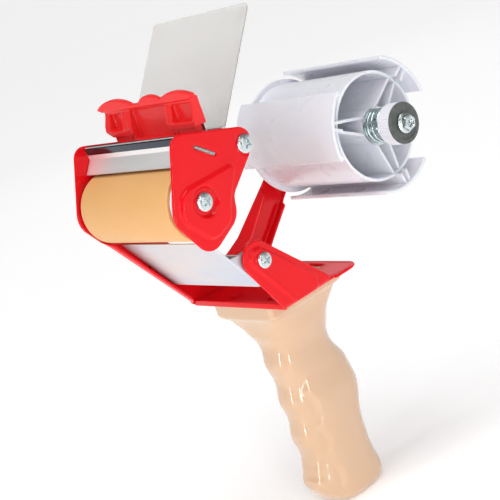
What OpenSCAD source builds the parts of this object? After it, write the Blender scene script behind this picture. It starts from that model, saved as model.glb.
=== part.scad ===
// Hand-held packing-tape dispenser. X runs along the hub and roller axes, with +X the open side
// where the tape roll goes on. -Y is the roller end, +Y the roll end, and +Z is up. The origin is
// on the hub axis, at the middle of the roll's width. Millimetres.

/* [Tape] */
// Outside diameter of the hub, which the roll's core slides over
core_d = 76; // [74:0.5:78]
// Length of the hub shells along the axis
shell_l = 81; // [79:0.5:81.5]

/* [Roller] */
// Outside diameter of the rubber roller
roller_d = 38; // [34:0.5:38.5]
// Length of the rubber sleeve
sleeve_l = 77; // [70:1:78]
// Diameter of the roller's axle
axle_d = 6; // [5:0.5:7]

/* [Frame] */
// Thickness of the painted steel sheet
sheet = 1.5; // [1.2:0.1:1.8]
// Clear width between the two head plates
clear_w = 84; // [84:0.5:86]
// Width of the turned flanges on the side frame
flange_w = 6; // [4:0.5:7]
// Length of the base plate along Y
base_l = 58; // [56:1:60]

/* [Handle] */
// Width of the grip across X
grip_w = 30; // [26:1:34]
// Width of the block that carries the base plate
block_w = 49; // [46:1:54]
// Wall of the hollow handle
handle_wall = 3.2; // [2.5:0.1:4]

/* [Cutter] */
// How far the guard can be pressed down to bare the blade
guard_travel = 5.5; // [4:0.5:5.5]
// Pitch of the blade's teeth
tooth_pitch = 2; // [1.5:0.5:3]

/* [Brake] */
// Nominal diameter of the hub stud
stud_d = 8; // [7:0.5:8]
// Radial running clearance of every turning fit
run_gap = 0.06; // [0.04:0.01:0.1]

/* [Hidden] */
$fn = 64;

plate_x = clear_w / 2;
roller_y = -132;
roller_z = 11;
roller_r = roller_d / 2;
axle_r = axle_d / 2;
tie_y = -97;
tie_z = 27.4;
tie_r = 3;
shaft_y = -105.5;
shaft_z = -32;
shaft_r = 2.5;
screw_r = 2;
base_z = -61;
base_y = -101.5;
base_x = 36.5;
base_back = base_y + base_l;
stud_r = stud_d / 2;
hub_r = core_d / 2;
shell_t = 2;
drum_r = 30.5;
drum_t = 1.8;
drum_x0 = -36.5;
drum_x1 = 35;
boss_r = 9.5;
boss_x1 = 34;
end_r = 2.5;
grip_x = -3;
slot_y = -121.2;
slot_z = 33.4;
slot_a = -37;
blade_y = -111;
blade_t = 0.6;
blade_w = 72;
blade_z0 = 27.8;
blade_z1 = 57.6;
blade_hole_x = 31;
blade_hole_z = 31.8;
guard_y0 = -116.2;
guard_y1 = -110.6;
guard_z0 = 44.5;
guard_z1 = 58.8;
neck_z0 = 40;
wiper_y = -102;
wiper_z = 38.5;
wiper_a = 52;
wiper_l = 65;
wiper_w = 82;
wiper_x = -1.6;
handle_holes = [[-17, -90], [14, -90], [grip_x, -56]];

// ---------- helpers ----------

function unit(v) = v / norm(v);

// The arc of radius r that rounds corner b of the path a-b-c.
function corner_arc(a, b, c, r, steps) =
    r == 0 ? [b] :
    let (u = unit(a - b), w = unit(c - b), half = acos(u * w) / 2,
         centre = b + unit(u + w) * r / sin(half),
         first = b + u * r / tan(half) - centre,
         last = b + w * r / tan(half) - centre,
         side = sign(first.x * last.y - first.y * last.x))
    [for (i = [0:steps]) let (q = side * (180 - 2 * half) * i / steps)
        centre + [first.x * cos(q) - first.y * sin(q), first.x * sin(q) + first.y * cos(q)]];

// Corners are [y, z, radius].
function rounded(corners, steps = 8) =
    let (n = len(corners), p = [for (c = corners) [c.x, c.y]])
    [for (i = [0:n - 1])
        each corner_arc(p[(i + n - 1) % n], p[i], p[(i + 1) % n], corners[i][2], steps)];

// The same closed path moved inwards by d; the path runs clockwise.
function inset(path, d) =
    let (n = len(path))
    [for (i = [0:n - 1])
        let (u = unit(path[i] - path[(i + n - 1) % n]), w = unit(path[(i + 1) % n] - path[i]),
             m = unit(u + w), k = d / max(0.3, sqrt((1 + u * w) / 2)))
        path[i] + [m.y, -m.x] * k];

// A plate lying in YZ between two X positions.
module plate(x0, x1, path) {
    translate([x0, 0, 0]) rotate([90, 0, 90]) linear_extrude(x1 - x0) polygon(path);
}

// A round bar along X.
module bar(x0, x1, y, z, r) {
    translate([x0, y, z]) rotate([0, 90, 0]) cylinder(h = x1 - x0, r = r);
}

// A cross-recessed pan head on the end of a rod, with its shank going into the rod.
module pan_screw(x, y, z, head_r, out, depth) {
    difference() {
        union() {
            bar(min(x, x + out * 1.6), max(x, x + out * 1.6), y, z, head_r);
            bar(min(x, x + out * 2.6), max(x, x + out * 2.6), y, z, head_r * 0.78);
            bar(min(x, x - out * depth), max(x, x - out * depth), y, z, screw_r);
        }
        for (turn = [0, 90])
            translate([x + out * 2.3, y, z]) rotate([turn + 20, 0, 0])
                cube([2.2, head_r * 1.1, head_r * 0.22], center = true);
    }
}

// A coil along X: points follow a helix whose radius runs from r0 to r1.
module coil(r0, r1, length, turns, wire, sides = 6, per_turn = 20) {
    rings = turns * per_turn;
    points = [for (i = [0:rings]) let (f = i / rings, q = 360 * turns * f, r = r0 + (r1 - r0) * f)
        for (j = [0:sides - 1]) let (w = 360 * j / sides, d = wire / 2)
            [wire / 2 + (length - wire) * f + d * sin(w),
             (r + d * cos(w)) * cos(q), (r + d * cos(w)) * sin(q)]];
    faces = concat(
        [[for (j = [0:sides - 1]) j]],
        [for (i = [0:rings - 1]) for (j = [0:sides - 1])
            [i * sides + j, (i + 1) * sides + j, (i + 1) * sides + (j + 1) % sides,
             i * sides + (j + 1) % sides]],
        [[for (j = [sides - 1:-1:0]) rings * sides + j]]);
    polyhedron(points, faces, convexity = 8);
}

// ---------- frame ----------

// Outline of the head, shared by the near plate and the top of the side frame.
head_top = [[-137.5, 47.6, 7], [-82.8, 32.4, 8], [-113.5, 6.9, 8]];
near_path = rounded(concat(head_top,
    [[-115.6, -4.2, 11], [-138.7, -15.6, 9], [-153, 8.3, 10]]));
side_path = rounded(concat(head_top,
    [[-106, -20, 12], [-78, -49, 16], [-58, -40, 10], [-8, -4, 0], [11, -9, 0],
     [-36.7, -50.5, 12], [-49.5, base_z - sheet, 0], [base_y + 0.5, base_z - sheet, 3],
     [-152.6, 8.6, 12]]));

// Strip along the front edge of the arm, between the hub and the corner under the tape.
arm_front = [[-58, -44], [-58, -32], [-26, -10], [-22, -20]];

module head_holes(x) {
    bar(x - 5, x + 5, roller_y, roller_z, screw_r + 0.15);
    bar(x - 5, x + 5, tie_y, tie_z, screw_r + 0.15);
    translate([x, slot_y, slot_z]) rotate([slot_a, 0, 0]) cube([10, 13.4, 1.7], center = true);
}

module side_frame() {
    color("firebrick") difference() {
        union() {
            plate(-plate_x - sheet, -plate_x, side_path);
            bar(-plate_x - sheet, -plate_x, 0, 0, 15);
            intersection() {
                plate(-plate_x - 0.1, -plate_x + flange_w, side_path);
                difference() {
                    plate(-plate_x - 1, -plate_x + flange_w + 1, side_path);
                    plate(-plate_x - 2, -plate_x + flange_w + 2, inset(side_path, sheet));
                    bar(-plate_x - 2, -plate_x + flange_w + 2, 0, 0, hub_r + 0.8);
                    translate([-plate_x - 3, -160, -4]) cube([20, 90, 60]);
                    translate([-plate_x - 3, -125, -30]) cube([20, 36, 40]);
                    translate([-plate_x - 3, -105, -44]) cube([20, 18, 30]);
                    translate([-plate_x - 3, base_y - 9, base_z - sheet - 1]) cube([20, 70, sheet + 3.6]);
                    bar(-plate_x - 2, -plate_x + flange_w + 2, roller_y, roller_z, roller_r + 0.8);
                }
            }
            // the front flange of the arm widens on its way down to the corner
            intersection() {
                difference() {
                    plate(-plate_x - 0.1, -plate_x + 15, arm_front);
                    plate(-plate_x - 1, -plate_x + 16, inset(side_path, sheet));
                    bar(-plate_x - 2, -plate_x + 16, 0, 0, hub_r + 0.8);
                }
                plate(-plate_x - 2, -plate_x + 16, side_path);
                translate([0, 0, -60]) linear_extrude(60)
                    polygon([[-plate_x - 0.1, -26], [-plate_x + flange_w - 1, -26],
                        [-plate_x + 13, -58], [-plate_x - 0.1, -58]]);
            }
        }
        head_holes(-plate_x);
        bar(-60, -30, shaft_y, shaft_z, screw_r + 0.15);
        bar(-60, -30, 0, 0, stud_r + 0.05);
    }
}

ear_path = rounded([[base_y, base_z, 0], [-124, -20.8, 9.4], [-103.9, -20.8, 8],
    [-62.8, base_z, 0]]);
ear_pad = rounded([[-94, base_z + 0.6, 4], [-118, -24.4, 5], [-104.8, -25, 4],
    [-76, -53.7, 5], [-77, base_z + 0.6, 3]]);

module base_plate() {
    color("firebrick") difference() {
        union() {
            translate([0, 0, base_z - sheet]) linear_extrude(sheet)
                polygon(rounded([[-plate_x, base_y, 0], [-plate_x, base_back, 3],
                    [base_x, base_back, 8], [base_x, base_y, 0]]));
            translate([-plate_x, base_y, base_z])
                cube([plate_x + base_x - sheet, sheet, 2.2]);
            plate(base_x - sheet, base_x, ear_path);
            plate(base_x - sheet, base_x + sheet, ear_pad);
        }
        plate(base_x - sheet - 1, base_x, inset(ear_pad, sheet));
        for (h = handle_holes)
            translate([h.x, h.y, base_z - 10]) cylinder(h = 20, r = screw_r + 0.25);
        translate([-1, base_back - 9, base_z - 5]) cube([14, 4, 10]);
        bar(20, 60, shaft_y, shaft_z, screw_r + 0.15);
    }
}

head_pad = rounded([[-143.5, 20.6, 9], [-107, 21.4, 2.5], [-117.2, 5.5, 8], [-121.5, -4.2, 6],
    [-134.5, -8.6, 8], [-148.6, 7.5, 8]]);

module near_head_plate() {
    color("firebrick") difference() {
        union() {
            plate(plate_x, plate_x + sheet, near_path);
            difference() {
                plate(plate_x + sheet - 0.1, plate_x + sheet + 1.6, head_pad);
                bar(plate_x, plate_x + 9, roller_y, roller_z, 8.5);
            }
        }
        head_holes(plate_x);
    }
}

// ---------- cutter ----------

// Section of the folded holder: front face, hemmed top band, sloping web and upright flange.
holder_path = [[-137.2, 31.4], [-131.8, 38.4], [-132.9, 44.4], [-131.6, 45], [-130.6, 41.25],
    [-110.4, 26], [-110.4, 37.4], [-109.2, 37.4], [-109.2, 23.6], [-130.2, 39.4],
    [-130.7, 37.6], [-136.1, 30.6]];

module blade_holder() {
    color("gainsboro") difference() {
        union() {
            plate(-plate_x + 0.3, plate_x - 0.3, holder_path);
            for (side = [-1, 1])
                translate([side * plate_x, slot_y, slot_z]) rotate([slot_a, 0, 0])
                    cube([3.6, 13, 1.3], center = true);
        }
        for (side = [-1, 1])
            translate([side * blade_hole_x, -120, blade_hole_z]) rotate([-90, 0, 0])
                cylinder(h = 20, r = 1.6, $fn = 24);
    }
}

module cutter_blade() {
    teeth = floor(blade_w / tooth_pitch);
    edge = [for (i = [0:2 * teeth])
        [-teeth * tooth_pitch / 2 + i * tooth_pitch / 2, blade_z1 - (i % 2 == 0 ? 1.6 : 0)]];
    color("silver") difference() {
        translate([0, blade_y + blade_t, 0]) rotate([90, 0, 0]) linear_extrude(blade_t)
            polygon(concat(edge, [[teeth * tooth_pitch / 2, blade_z0],
                [-teeth * tooth_pitch / 2, blade_z0]]));
        for (side = [-1, 1])
            translate([side * blade_hole_x, -120, blade_hole_z]) rotate([-90, 0, 0])
                cylinder(h = 20, r = 1.6, $fn = 24);
    }
}

module blade_screws() {
    color("silver") for (side = [-1, 1]) translate([side * blade_hole_x, 0, blade_hole_z]) {
        translate([0, blade_y - 1.2, 0]) rotate([-90, 0, 0]) cylinder(h = 1.2, r = 2.1, $fn = 32);
        translate([0, blade_y - 0.2, 0]) rotate([-90, 0, 0]) cylinder(h = 3.9, r = 1.5, $fn = 32);
        translate([0, -109.2, 0]) rotate([-90, 0, 0]) cylinder(h = 1.6, r = 2.9, $fn = 6);
    }
}

// Top edge of the guard's lip: three scallops [centre, half width, rise] over a low edge.
scallops = [[-26.5, 15.6, 3.8], [5, 9.2, 3.2], [27.6, 13.4, 3]];
lip_z = 60.4;

module scallop(c) {
    r = (c[1] * c[1] + c[2] * c[2]) / (2 * c[2]);
    translate([c[0], lip_z + c[2] - r]) intersection() {
        circle(r = r, $fn = 128);
        translate([0.4 - c[1], r - c[2] - 0.8]) square([2 * c[1] - 0.8, c[2] + 1.6]);
    }
}

module guard_lip() {
    polygon([[-38.3, 58.2], [-42.1, 59.4], [-42.1, lip_z], [41, lip_z], [41, 59.4], [38.3, 58.2]]);
    for (c = scallops) scallop(c);
}

// Side section of the guard's body; its front leans back towards the ridge under the lip.
guard_side = [[guard_y0 - 1.6, guard_z0], [guard_y0 - 1.6, guard_z0 + 3.5],
    [guard_y0 + 1.4, guard_z1], [guard_y1, guard_z1], [guard_y1, guard_z0]];

// Front view of the body, with the bottom corner cut away at the far end.
guard_front = [[-34.5, guard_z0], [-39.4, 47.4], [-40, 50.5], [-38.3, 56], [-38.3, guard_z1],
    [38.3, guard_z1], [38.3, guard_z0]];

// Pockets in the front face: [x, width, bottom, top].
guard_pockets = [[-34.6, 11.6, 47.6, 56.4], [-15.5, 31, 41.6, 57], [20.4, 16.2, 47.6, 56.4]];

module blade_guard() {
    color("red") difference() {
        union() {
            intersection() {
                plate(-41, 41, guard_side);
                translate([0, guard_y1 + 1, 0]) rotate([90, 0, 0]) linear_extrude(12)
                    polygon(guard_front);
            }
            translate([-35, guard_y0, neck_z0]) cube([70, 4.8, guard_z0 - neck_z0 + 1]);
            translate([0, guard_y0 + 2.6, 0]) rotate([90, 0, 0]) linear_extrude(3) guard_lip();
        }
        for (p = guard_pockets)
            translate([p[0], guard_y0 - 5, p[2]]) cube([p[1], 8.3, p[3] - p[2]]);
        // notches either side of the neck's middle
        translate([-22, guard_y0 - 1, neck_z0 - 1]) cube([5, 2.2, 4]);
        translate([16, guard_y0 - 1, neck_z0 - 1]) cube([5, 2.2, 4]);
        // recess that the blade stands in, open below, behind and above
        translate([-blade_w / 2 - 0.4, blade_y - 0.4, neck_z0 - 1]) cube([blade_w + 0.8, 3, 40]);
    }
}

module guard_springs() {
    color("silver") for (side = [-1, 1])
        translate([side * 22, blade_y - 2.5, neck_z0 - 0.1]) rotate([0, 90, 0])
            coil(1.3, 1.3, 10, 6, 0.5, 6, 14);
}

// ---------- roller ----------

module roller_sleeve() {
    color("sandybrown") difference() {
        bar(-sleeve_l / 2, sleeve_l / 2, roller_y, roller_z, roller_r);
        bar(-sleeve_l / 2 - 1, sleeve_l / 2 + 1, roller_y, roller_z, roller_r - 3.5);
    }
}

module roller_core() {
    color("white") difference() {
        union() {
            bar(-40, 40, roller_y, roller_z, roller_r - 3.5);
            for (side = [-1, 1])
                bar(side * 39.25 - 0.75, side * 39.25 + 0.75, roller_y, roller_z, roller_r - 1.8);
        }
        bar(-38, 38, roller_y, roller_z, roller_r - 5.5);
        bar(-41, 41, roller_y, roller_z, 5.5);
    }
    color("white") for (side = [-1, 1]) difference() {
        bar(side * 34 - 6, side * 34 + 6, roller_y, roller_z, 7.5);
        bar(side * 34 - 7, side * 34 + 7, roller_y, roller_z, 5.5);
    }
}

module roller_bushes() {
    color("ivory") for (side = [-1, 1]) difference() {
        union() {
            bar(side * 35 - 5.5, side * 35 + 5.5, roller_y, roller_z, 5.5);
            bar(side * 40.5 - 0.5, side * 40.5 + 0.5, roller_y, roller_z, 8);
        }
        bar(side * 36 - 8, side * 36 + 8, roller_y, roller_z, axle_r + run_gap);
    }
}

module roller_washers() {
    color("silver") for (side = [-1, 1]) difference() {
        bar(side * (plate_x - 0.3) - 0.3, side * (plate_x - 0.3) + 0.3, roller_y, roller_z, 6);
        bar(side * (plate_x - 0.3) - 1, side * (plate_x - 0.3) + 1, roller_y, roller_z, axle_r);
    }
}

module roller_axle() {
    color("silver") difference() {
        bar(-plate_x, plate_x, roller_y, roller_z, axle_r);
        for (side = [-1, 1])
            bar(side * (plate_x - 5) - 5.1, side * (plate_x - 5) + 5.1, roller_y, roller_z, screw_r);
    }
}

module axle_screws() {
    color("silver") for (side = [-1, 1])
        pan_screw(side * (plate_x + sheet), roller_y, roller_z, 4.6, side, 9);
}

// ---------- tie rod and wiper ----------

module tie_rod() {
    color("silver") difference() {
        bar(-plate_x, plate_x, tie_y, tie_z, tie_r);
        for (side = [-1, 1])
            bar(side * (plate_x - 5) - 5.1, side * (plate_x - 5) + 5.1, tie_y, tie_z, screw_r);
    }
}

module tie_screws() {
    color("silver") for (side = [-1, 1])
        pan_screw(side * (plate_x + sheet), tie_y, tie_z, 4.8, side, 9);
}

// Places children in the wiper's own plane: X across, Y up along the sheet, Z through it.
module on_wiper() {
    translate([0, wiper_y, wiper_z]) rotate([wiper_a, 0, 0]) children();
}

module wiper_bracket() {
    color("firebrick") difference() {
        union() {
            on_wiper() translate([-36, -9, -1.6]) cube([72, 9, 1.2]);
            for (x = [-24, 18]) difference() {
                union() {
                    translate([x, tie_y, tie_z]) rotate([0, 90, 0]) cylinder(h = 6, r = tie_r + 1.4);
                    hull() {
                        translate([x, tie_y, tie_z + 2.6]) cube([6, 1.2, 2]);
                        on_wiper() translate([x, -6, -1.7]) cube([6, 5, 1]);
                    }
                }
                bar(-50, 50, tie_y, tie_z, tie_r);
            }
        }
        for (x = [-28, 0, 28])
            on_wiper() translate([x, -4.5, -3]) cylinder(h = 4, r = 1.5, $fn = 24);
    }
}

module wiper_foot() {
    color([0.8, 0.88, 0.95, 0.5]) difference() {
        on_wiper() translate([wiper_x - wiper_w / 2 + 1.1, -8, -0.4]) cube([wiper_w - 1.1, 8, 0.5]);
        for (x = [-28, 0, 28])
            on_wiper() translate([x, -4.5, -3]) cylinder(h = 6, r = 1.5, $fn = 24);
    }
}

module wiper_sheet() {
    color([0.8, 0.88, 0.95, 0.5]) on_wiper()
        translate([wiper_x, 0.3, -0.4]) linear_extrude(0.5)
            polygon(rounded([[-wiper_w / 2, 0, 0], [wiper_w / 2, 0, 0],
                [wiper_w / 2, wiper_l, 4], [-wiper_w / 2, wiper_l, 1.5]]));
}

module wiper_rivets() {
    color("silver") for (x = [-28, 0, 28]) on_wiper() translate([x, -4.5, 0]) {
        translate([0, 0, 0.1]) cylinder(h = 0.9, r = 2.6, $fn = 32);
        translate([0, 0, -2.4]) cylinder(h = 2.6, r = 1.5, $fn = 32);
        translate([0, 0, -2.4]) cylinder(h = 0.8, r = 2.4, $fn = 32);
    }
}

// ---------- backstop flap ----------

module flap_shaft() {
    color("silver") difference() {
        bar(-plate_x, base_x - sheet, shaft_y, shaft_z, shaft_r);
        bar(-plate_x - 1, -plate_x + 9, shaft_y, shaft_z, screw_r - 0.5);
        bar(base_x - sheet - 9, base_x, shaft_y, shaft_z, screw_r - 0.5);
    }
}

module flap_shaft_screws() {
    color("silver") {
        difference() {
            pan_screw(base_x + sheet, shaft_y, shaft_z, 4.2, 1, 2.9);
        }
        bar(base_x - sheet - 8, base_x, shaft_y, shaft_z, screw_r - 0.5);
        pan_screw(-plate_x - sheet, shaft_y, shaft_z, 4.2, -1, 1.4);
        bar(-plate_x - sheet, -plate_x + 8, shaft_y, shaft_z, screw_r - 0.5);
    }
}

flap_x0 = -41;
flap_x1 = 34.2;
flap_path = [[-133.2, -10.6], [-132.5, -10.1], [-109.4, -44.6], [-110.1, -45.1]];
flap_cheek = rounded([[-124, -23.4, 1], [-109.2, -44.8, 1], [-99.5, -38, 5], [-101.5, -25.5, 5]]);

module backstop_flap() {
    color("gainsboro") difference() {
        union() {
            plate(flap_x0, flap_x1, flap_path);
            for (x = [flap_x0, flap_x1 - 0.8]) plate(x, x + 0.8, flap_cheek);
        }
        bar(-50, 50, shaft_y, shaft_z, shaft_r + run_gap);
        // barbs: the top corners are cut back to leave short teeth
        translate([flap_x1 - 3, -140, -14]) cube([5, 20, 8]);
    }
}

module flap_spring() {
    color("silver") translate([20, shaft_y, shaft_z]) coil(3.6, 3.6, 9, 7, 0.9, 6, 16);
}

// ---------- hub ----------

// Half the gap between the two walls of a rib, which close in towards the shell.
function rib_half(y) = 4.85 - 0.113 * (y - 7.6);

module rib_wall(x0, x1, y0, y1, side) {
    a = side * rib_half(y0);
    b = side * rib_half(y1);
    plate(x0, x1, [[y0, a - 0.85], [y1, b - 0.85], [y1, b + 0.85], [y0, a + 0.85]]);
}

// One double-walled rib reaching from the boss to its shell, which spans 60 degrees.
module rib_and_shell(a) {
    rotate([a, 0, 0]) {
        for (side = [-1, 1]) {
            rib_wall(drum_x0 + 2, drum_x1 - 0.6, 7, drum_r - 1, side);
            rib_wall(-shell_l / 2 + 1, shell_l / 2 - 1, drum_r - 1, hub_r - 1, side);
        }
        intersection() {
            difference() {
                bar(-shell_l / 2, shell_l / 2, 0, 0, hub_r);
                bar(-shell_l / 2 - 1, shell_l / 2 + 1, 0, 0, hub_r - shell_t);
            }
            translate([-shell_l / 2 - 2, 0, 0]) rotate([0, 90, 0]) linear_extrude(shell_l + 4)
                polygon([[0, 0], [45 * sin(30), 45 * cos(30)], [30, 45], [-30, 45],
                    [-45 * sin(30), 45 * cos(30)]]);
        }
    }
}

module tape_hub() {
    color("whitesmoke") difference() {
        union() {
            difference() {
                bar(drum_x0, drum_x1, 0, 0, drum_r);
                bar(drum_x0 + 1.8, drum_x1 + 1, 0, 0, drum_r - drum_t);
            }
            bar(drum_x0 - 1.2, drum_x0 + 0.6, 0, 0, 33.5);
            bar(drum_x0 - 1.2, boss_x1, 0, 0, boss_r);
            for (a = [40, 160, 280]) rib_and_shell(a);
        }
        bar(-60, 60, 0, 0, 6);
    }
}

module hub_bushes() {
    color("tan") for (side = [-1, 1]) difference() {
        union() {
            bar(side < 0 ? drum_x0 - 1.2 : boss_x1 - 12, side < 0 ? drum_x0 + 10.8 : boss_x1, 0, 0, 6);
            bar(side < 0 ? drum_x0 - 2.2 : boss_x1, side < 0 ? drum_x0 - 1.2 : boss_x1 + 1, 0, 0, 8);
        }
        bar(-60, 60, 0, 0, stud_r + run_gap);
    }
}

module hub_stud() {
    color("silver") {
        bar(-plate_x - sheet, 45.8, 0, 0, stud_r);
        bar(45, 60.4, 0, 0, end_r);
        translate([-plate_x - sheet - 5, 0, 0]) rotate([0, 90, 0]) cylinder(h = 5, r = 7.4, $fn = 6);
    }
}

module stud_nut() {
    color("silver") difference() {
        translate([-plate_x, 0, 0]) rotate([0, 90, 0]) cylinder(h = 2.9, r = 7.4, $fn = 6);
        bar(-60, 60, 0, 0, stud_r);
    }
}

// ---------- brake ----------

module spring_seat() {
    color("silver") difference() {
        bar(35.3, 36.3, 0, 0, 10.6);
        bar(30, 40, 0, 0, stud_r);
    }
}

module brake_spring() {
    color("lightsteelblue") translate([36.4, 0, 0]) coil(9, 8.6, 12.4, 4, 1.5, 8, 24);
}

module brake_collar() {
    color("whitesmoke") difference() {
        bar(47, 55, 0, 0, 11.4);
        bar(46, 49.2, 0, 0, 9.9);
        bar(40, 60, 0, 0, end_r + run_gap);
    }
}

module brake_washer() {
    color("dimgray") difference() {
        bar(55, 56.4, 0, 0, 11.4);
        bar(50, 60, 0, 0, end_r + run_gap);
    }
}

module brake_nut() {
    color("silver") difference() {
        union() {
            bar(56.7, 57.7, 0, 0, 5.9);
            translate([57.6, 0, 0]) rotate([0, 90, 0]) cylinder(h = 3.2, r = 4.62, $fn = 6);
        }
        bar(50, 70, 0, 0, end_r + run_gap);
    }
}

// ---------- handle ----------

handle_z1 = base_z - sheet;
handle_z0 = -192.4;
block_h = 8.5;

// How far the grip has spread towards its block: 0 at the neck, 1 at the block.
function flare(z) = 1 - pow(1 - pow(min(1, max(0, (z + 98) / 27)), 1.45), 0.69);

function ease(t) = let (c = min(1, max(0, t))) c * c * (3 - 2 * c);

// Front surface of the grip: four shallow finger grooves and a toe.
function front_y(z) =
    let (groove = 0.95 * cos((z + 102) * 360 / 23.2) * (z < -82 && z > -168 ? 1 : 0))
    -93.8 - groove - 5.9 * flare(z)
    - 3.4 * exp(-pow((z + 176) / 6, 2))
    + 12 * pow(max(0, (-180 - z) / 13.7), 2.2);

// Rear surface: a slim web under the block, then the palm swell, then the heel.
function rear_y(z) =
    -50.9 + 6.2 * exp(-pow((z + 131) / 15, 2)) + 2.2 * exp(-pow((z + 115) / 7, 2))
    - 2.6 * exp(-pow((z + 101) / 11, 2)) + 2.6 * exp(-pow((z + 185) / 9, 2))
    + 4.5 * flare(z) - 6 * pow(max(0, (-186 - z) / 7.7), 2.4);

// Half the width, with the neck drawn in above the ledge of the palm swell.
function half_w(z) =
    grip_w / 2 + 0.2 - 2.4 * ease((z + 122) / 7) * (1 - ease((z + 98) / 14))
    + 0.8 * exp(-pow((z + 178) / 12, 2)) + 6.8 * flare(z)
    - 5 * pow(max(0, (-186 - z) / 7.7), 2.4);

function ring(z, shrink, sides) =
    let (f = front_y(z) + shrink, r = rear_y(z) - shrink, c = (f + r) / 2, b = (r - f) / 2,
         a = half_w(z) - shrink)
    [for (j = [0:sides - 1]) let (q = 360 * j / sides, s = sin(q), t = cos(q))
        [grip_x + a * sign(t) * pow(abs(t), 0.82), c + b * sign(s) * pow(abs(s), 0.82), z]];

module lofted(levels, shrink, sides) {
    n = len(levels);
    points = [for (z = levels) each ring(z, shrink, sides)];
    faces = concat(
        [[for (j = [0:sides - 1]) j]],
        [for (i = [0:n - 2]) for (j = [0:sides - 1])
            [(i + 1) * sides + j, (i + 1) * sides + (j + 1) % sides, i * sides + (j + 1) % sides,
             i * sides + j]],
        [[for (j = [sides - 1:-1:0]) (n - 1) * sides + j]]);
    polyhedron(points, faces, convexity = 6);
}

module handle() {
    block_y0 = base_y + 0.4;
    block_y1 = base_back - 1.6;
    outer = concat([for (i = [0:4]) handle_z0 + 7.7 * (1 - cos(i * 22.5))],
        [for (z = [-182:4:-78]) z], [-75, -73, -71.6, handle_z1 - block_h]);
    inner = [for (z = [-186:6:-78]) z];
    color("burlywood") difference() {
        union() {
            lofted(outer, 0, 40);
            difference() {
                translate([grip_x - block_w / 2, block_y0, handle_z1 - block_h - 2])
                    cube([block_w, block_y1 - block_y0, block_h + 2]);
                translate([grip_x - block_w / 2 + 3, block_y0 + 3, handle_z1 - block_h])
                    cube([block_w - 6, block_y1 - block_y0 - 6, block_h + 1]);
            }
            for (h = handle_holes)
                translate([h.x, h.y, handle_z1 - block_h - 1]) cylinder(h = block_h + 1, r = 4);
        }
        difference() {
            lofted(concat(inner, [handle_z1 - block_h + 0.5]), handle_wall, 40);
            for (h = handle_holes)
                translate([h.x, h.y, -100]) cylinder(h = 40, r = 4);
        }
        for (h = handle_holes)
            translate([h.x, h.y, handle_z1 - 9]) cylinder(h = 20, r = screw_r);
    }
}

module handle_screws() {
    color("firebrick") for (h = handle_holes) translate([h.x, h.y, 0]) {
        translate([0, 0, base_z]) cylinder(h = 0.9, r = 3.4);
        translate([0, 0, handle_z1 - 8]) cylinder(h = 9.6, r = screw_r);
    }
}

side_frame();
base_plate();
near_head_plate();
blade_holder();
cutter_blade();
blade_screws();
blade_guard();
guard_springs();
roller_axle();
axle_screws();
roller_sleeve();
roller_core();
roller_bushes();
roller_washers();
tie_rod();
tie_screws();
wiper_bracket();
wiper_foot();
wiper_sheet();
wiper_rivets();
flap_shaft();
flap_shaft_screws();
backstop_flap();
flap_spring();
hub_stud();
stud_nut();
tape_hub();
hub_bushes();
spring_seat();
brake_spring();
brake_collar();
brake_washer();
brake_nut();
handle();
handle_screws();
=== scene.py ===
"""Looks for the hand-held tape dispenser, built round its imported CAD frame.

X runs along the hub and roller axes, -Y is the roller end, +Z is up, and the origin is on the
hub axis. Shapes are written in millimetres and scaled once, in solid().
"""

import math

import bmesh
import bpy
import numpy as np
from mathutils import Matrix, Vector, geometry


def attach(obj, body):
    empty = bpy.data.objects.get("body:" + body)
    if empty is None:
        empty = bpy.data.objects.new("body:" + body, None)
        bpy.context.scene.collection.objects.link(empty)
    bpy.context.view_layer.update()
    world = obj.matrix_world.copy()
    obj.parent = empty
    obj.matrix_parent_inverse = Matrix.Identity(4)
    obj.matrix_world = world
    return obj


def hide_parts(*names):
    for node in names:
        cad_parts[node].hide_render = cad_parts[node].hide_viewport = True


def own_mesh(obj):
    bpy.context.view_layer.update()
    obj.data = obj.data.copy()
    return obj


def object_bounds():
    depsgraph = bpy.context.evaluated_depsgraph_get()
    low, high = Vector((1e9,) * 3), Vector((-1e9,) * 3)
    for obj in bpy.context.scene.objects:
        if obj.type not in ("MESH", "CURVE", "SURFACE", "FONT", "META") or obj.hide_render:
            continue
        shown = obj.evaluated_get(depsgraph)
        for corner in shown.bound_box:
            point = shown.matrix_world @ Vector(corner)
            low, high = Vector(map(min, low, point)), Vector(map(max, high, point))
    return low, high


MM = 0.001

# Head and frame: sheet thickness, half the clear width, and the cross axes as (y, z)
SHEET = 1.5
PLATE_X = 42.0
ROLLER = (-132.0, 11.0)
TIE = (-97.0, 27.4)
SHAFT = (-105.5, -32.0)

# Base plate: height of its top face, front edge, near edge, rear edge and underside
BASE_Z = -61.0
BASE_Y = -101.5
BASE_X = 36.5
BASE_BACK = BASE_Y + 58
BASE_UNDER = BASE_Z - SHEET
LIP_H = 2.2

# Grip: offset of its middle plane and its lowest point
GRIP_X = -3.0
GRIP_FOOT = -192.4

# Turned-up rim of the side frame: height and outer bend radius
FLANGE_H = 6.6
BEND_R = 2.6

# Hub: core circle, shells, drum and boss
HUB_R = 38.0
SHELL_HALF = 40.5
SHELL_ANGLES = (40, 160, 280)
DRUM_X0, DRUM_X1, DRUM_R = -36.5, 35.0, 30.5
BOSS_R = 9.5
RIB_HALF = 0.85

# Brake: stud, its M5 end, thread pitch, and the clearance bore of 5 mm shafts
STUD_R = 4.0
THREAD_R, THREAD_ROOT, PITCH = 2.5, 2.1, 0.8
BORE_R = 2.56

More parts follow.
